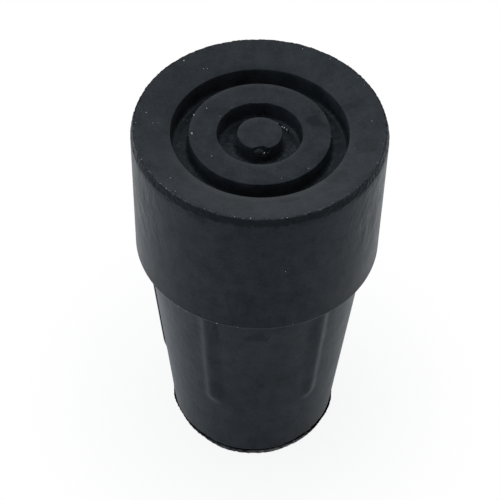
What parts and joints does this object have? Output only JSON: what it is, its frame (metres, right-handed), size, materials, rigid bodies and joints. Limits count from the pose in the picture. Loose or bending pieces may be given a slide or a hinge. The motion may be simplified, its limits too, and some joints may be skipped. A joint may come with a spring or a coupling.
{
  "type": "rubber cane tip",
  "caption": "Moulded rubber cane tip: a tapered shank with a blind socket for the cane, and a wider round foot with a ring-grooved tread.",
  "frame": {"origin": "centre of the socket's mouth, in the plane of the mouth's rim", "axes": "+Z along the socket's axis from the mouth towards the tread face, so the part stands on its mouth; -Y towards the nick in the central boss"},
  "size_m": [0.037, 0.037, 0.0618],
  "materials": {
    "rubber": "satin dark charcoal grey moulded rubber"
  },
  "bodies": {
    "root": {"cane_tip": "rubber"}
  },
  "joints": []
}
